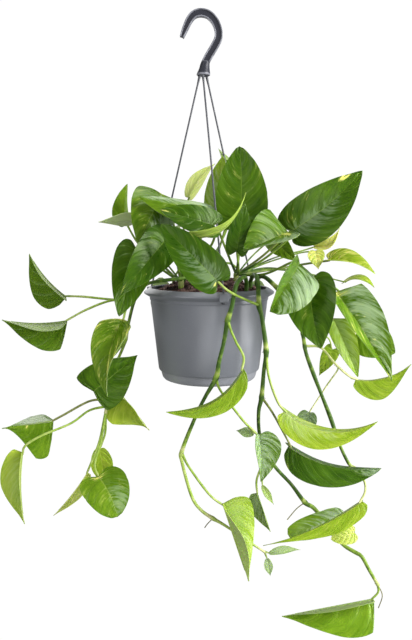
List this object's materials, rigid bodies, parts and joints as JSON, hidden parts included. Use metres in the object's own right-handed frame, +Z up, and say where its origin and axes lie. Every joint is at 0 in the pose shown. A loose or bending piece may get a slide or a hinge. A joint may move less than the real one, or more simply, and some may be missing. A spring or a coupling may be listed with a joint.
{
  "type": "potted hanging plant",
  "caption": "Golden pothos trailing from a round hanging pot with a clipped drip saucer, hung from a moulded hook by thin plastic strands.",
  "frame": {"origin": "the highest point inside the hook's bend, where the hook bears on what it hangs from", "axes": "+Z up; -Y towards the viewer, who sees the hook's bend in profile with its open tip on the left; +X to the viewer's right"},
  "size_m": [0.4673, 0.2087, 0.7067],
  "materials": {
    "pot_plastic": "satin",
    "saucer_plastic": "satin",
    "soil": "rough",
    "hook_plastic": "satin",
    "strand_plastic": "satin",
    "stem": "satin",
    "leaf_dark": "glossy",
    "leaf_mid": "glossy",
    "leaf_young": "satin",
    "leaf_pale": "satin"
  },
  "bodies": {
    "root": {"pot": "pot_plastic", "saucer": "saucer_plastic", "soil": "soil", "hook": "hook_plastic", "strand_front": "strand_plastic", "strand_right": "strand_plastic", "strand_left": "strand_plastic", "vine_left": "stem", "vine_front": "stem", "vine_middle": "stem", "vine_right": "stem", "crown_left": "stem", "crown_right": "stem", "crown_back": "stem", "leaf_left_crown_1": "leaf_mid", "leaf_left_crown_2": "leaf_mid", "leaf_left_crown_4": "leaf_mid", "leaf_left_crown_8": "leaf_mid", "leaf_top_2": "leaf_mid", "leaf_right_crown_1": "leaf_mid", "leaf_right_crown_4": "leaf_mid", "leaf_right_crown_10": "leaf_mid", "leaf_right_crown_11": "leaf_mid", "leaf_left_vine_1": "leaf_mid", "leaf_left_vine_2": "leaf_mid", "leaf_left_vine_6": "leaf_mid", "leaf_front_vine_2": "leaf_mid", "leaf_middle_vine_3": "leaf_mid", "leaf_middle_vine_4": "leaf_mid", "leaf_left_crown_7": "leaf_dark", "leaf_left_crown_9": "leaf_dark", "leaf_top_3": "leaf_dark", "leaf_top_4": "leaf_dark", "leaf_right_crown_2": "leaf_dark", "leaf_right_crown_3": "leaf_dark", "leaf_right_crown_5": "leaf_dark", "leaf_left_vine_4": "leaf_dark", "leaf_middle_vine_2": "leaf_dark", "leaf_top_1": "leaf_pale", "leaf_right_crown_6": "leaf_pale", "leaf_right_crown_7": "leaf_pale", "leaf_left_crown_3": "leaf_young", "leaf_left_crown_5": "leaf_young", "leaf_left_crown_6": "leaf_young", "leaf_right_crown_8": "leaf_young", "leaf_right_crown_9": "leaf_young", "leaf_right_crown_12": "leaf_young", "leaf_right_crown_13": "leaf_young", "leaf_left_vine_3": "leaf_young", "leaf_left_vine_5": "leaf_young", "leaf_left_vine_7": "leaf_young", "leaf_left_vine_8": "leaf_young", "leaf_left_vine_9": "leaf_young", "leaf_left_vine_10": "leaf_young", "leaf_front_vine_1": "leaf_young", "leaf_front_vine_3": "leaf_young", "leaf_middle_vine_1": "leaf_young", "leaf_middle_vine_5": "leaf_young", "leaf_right_vine_1": "leaf_young"}
  },
  "joints": []
}
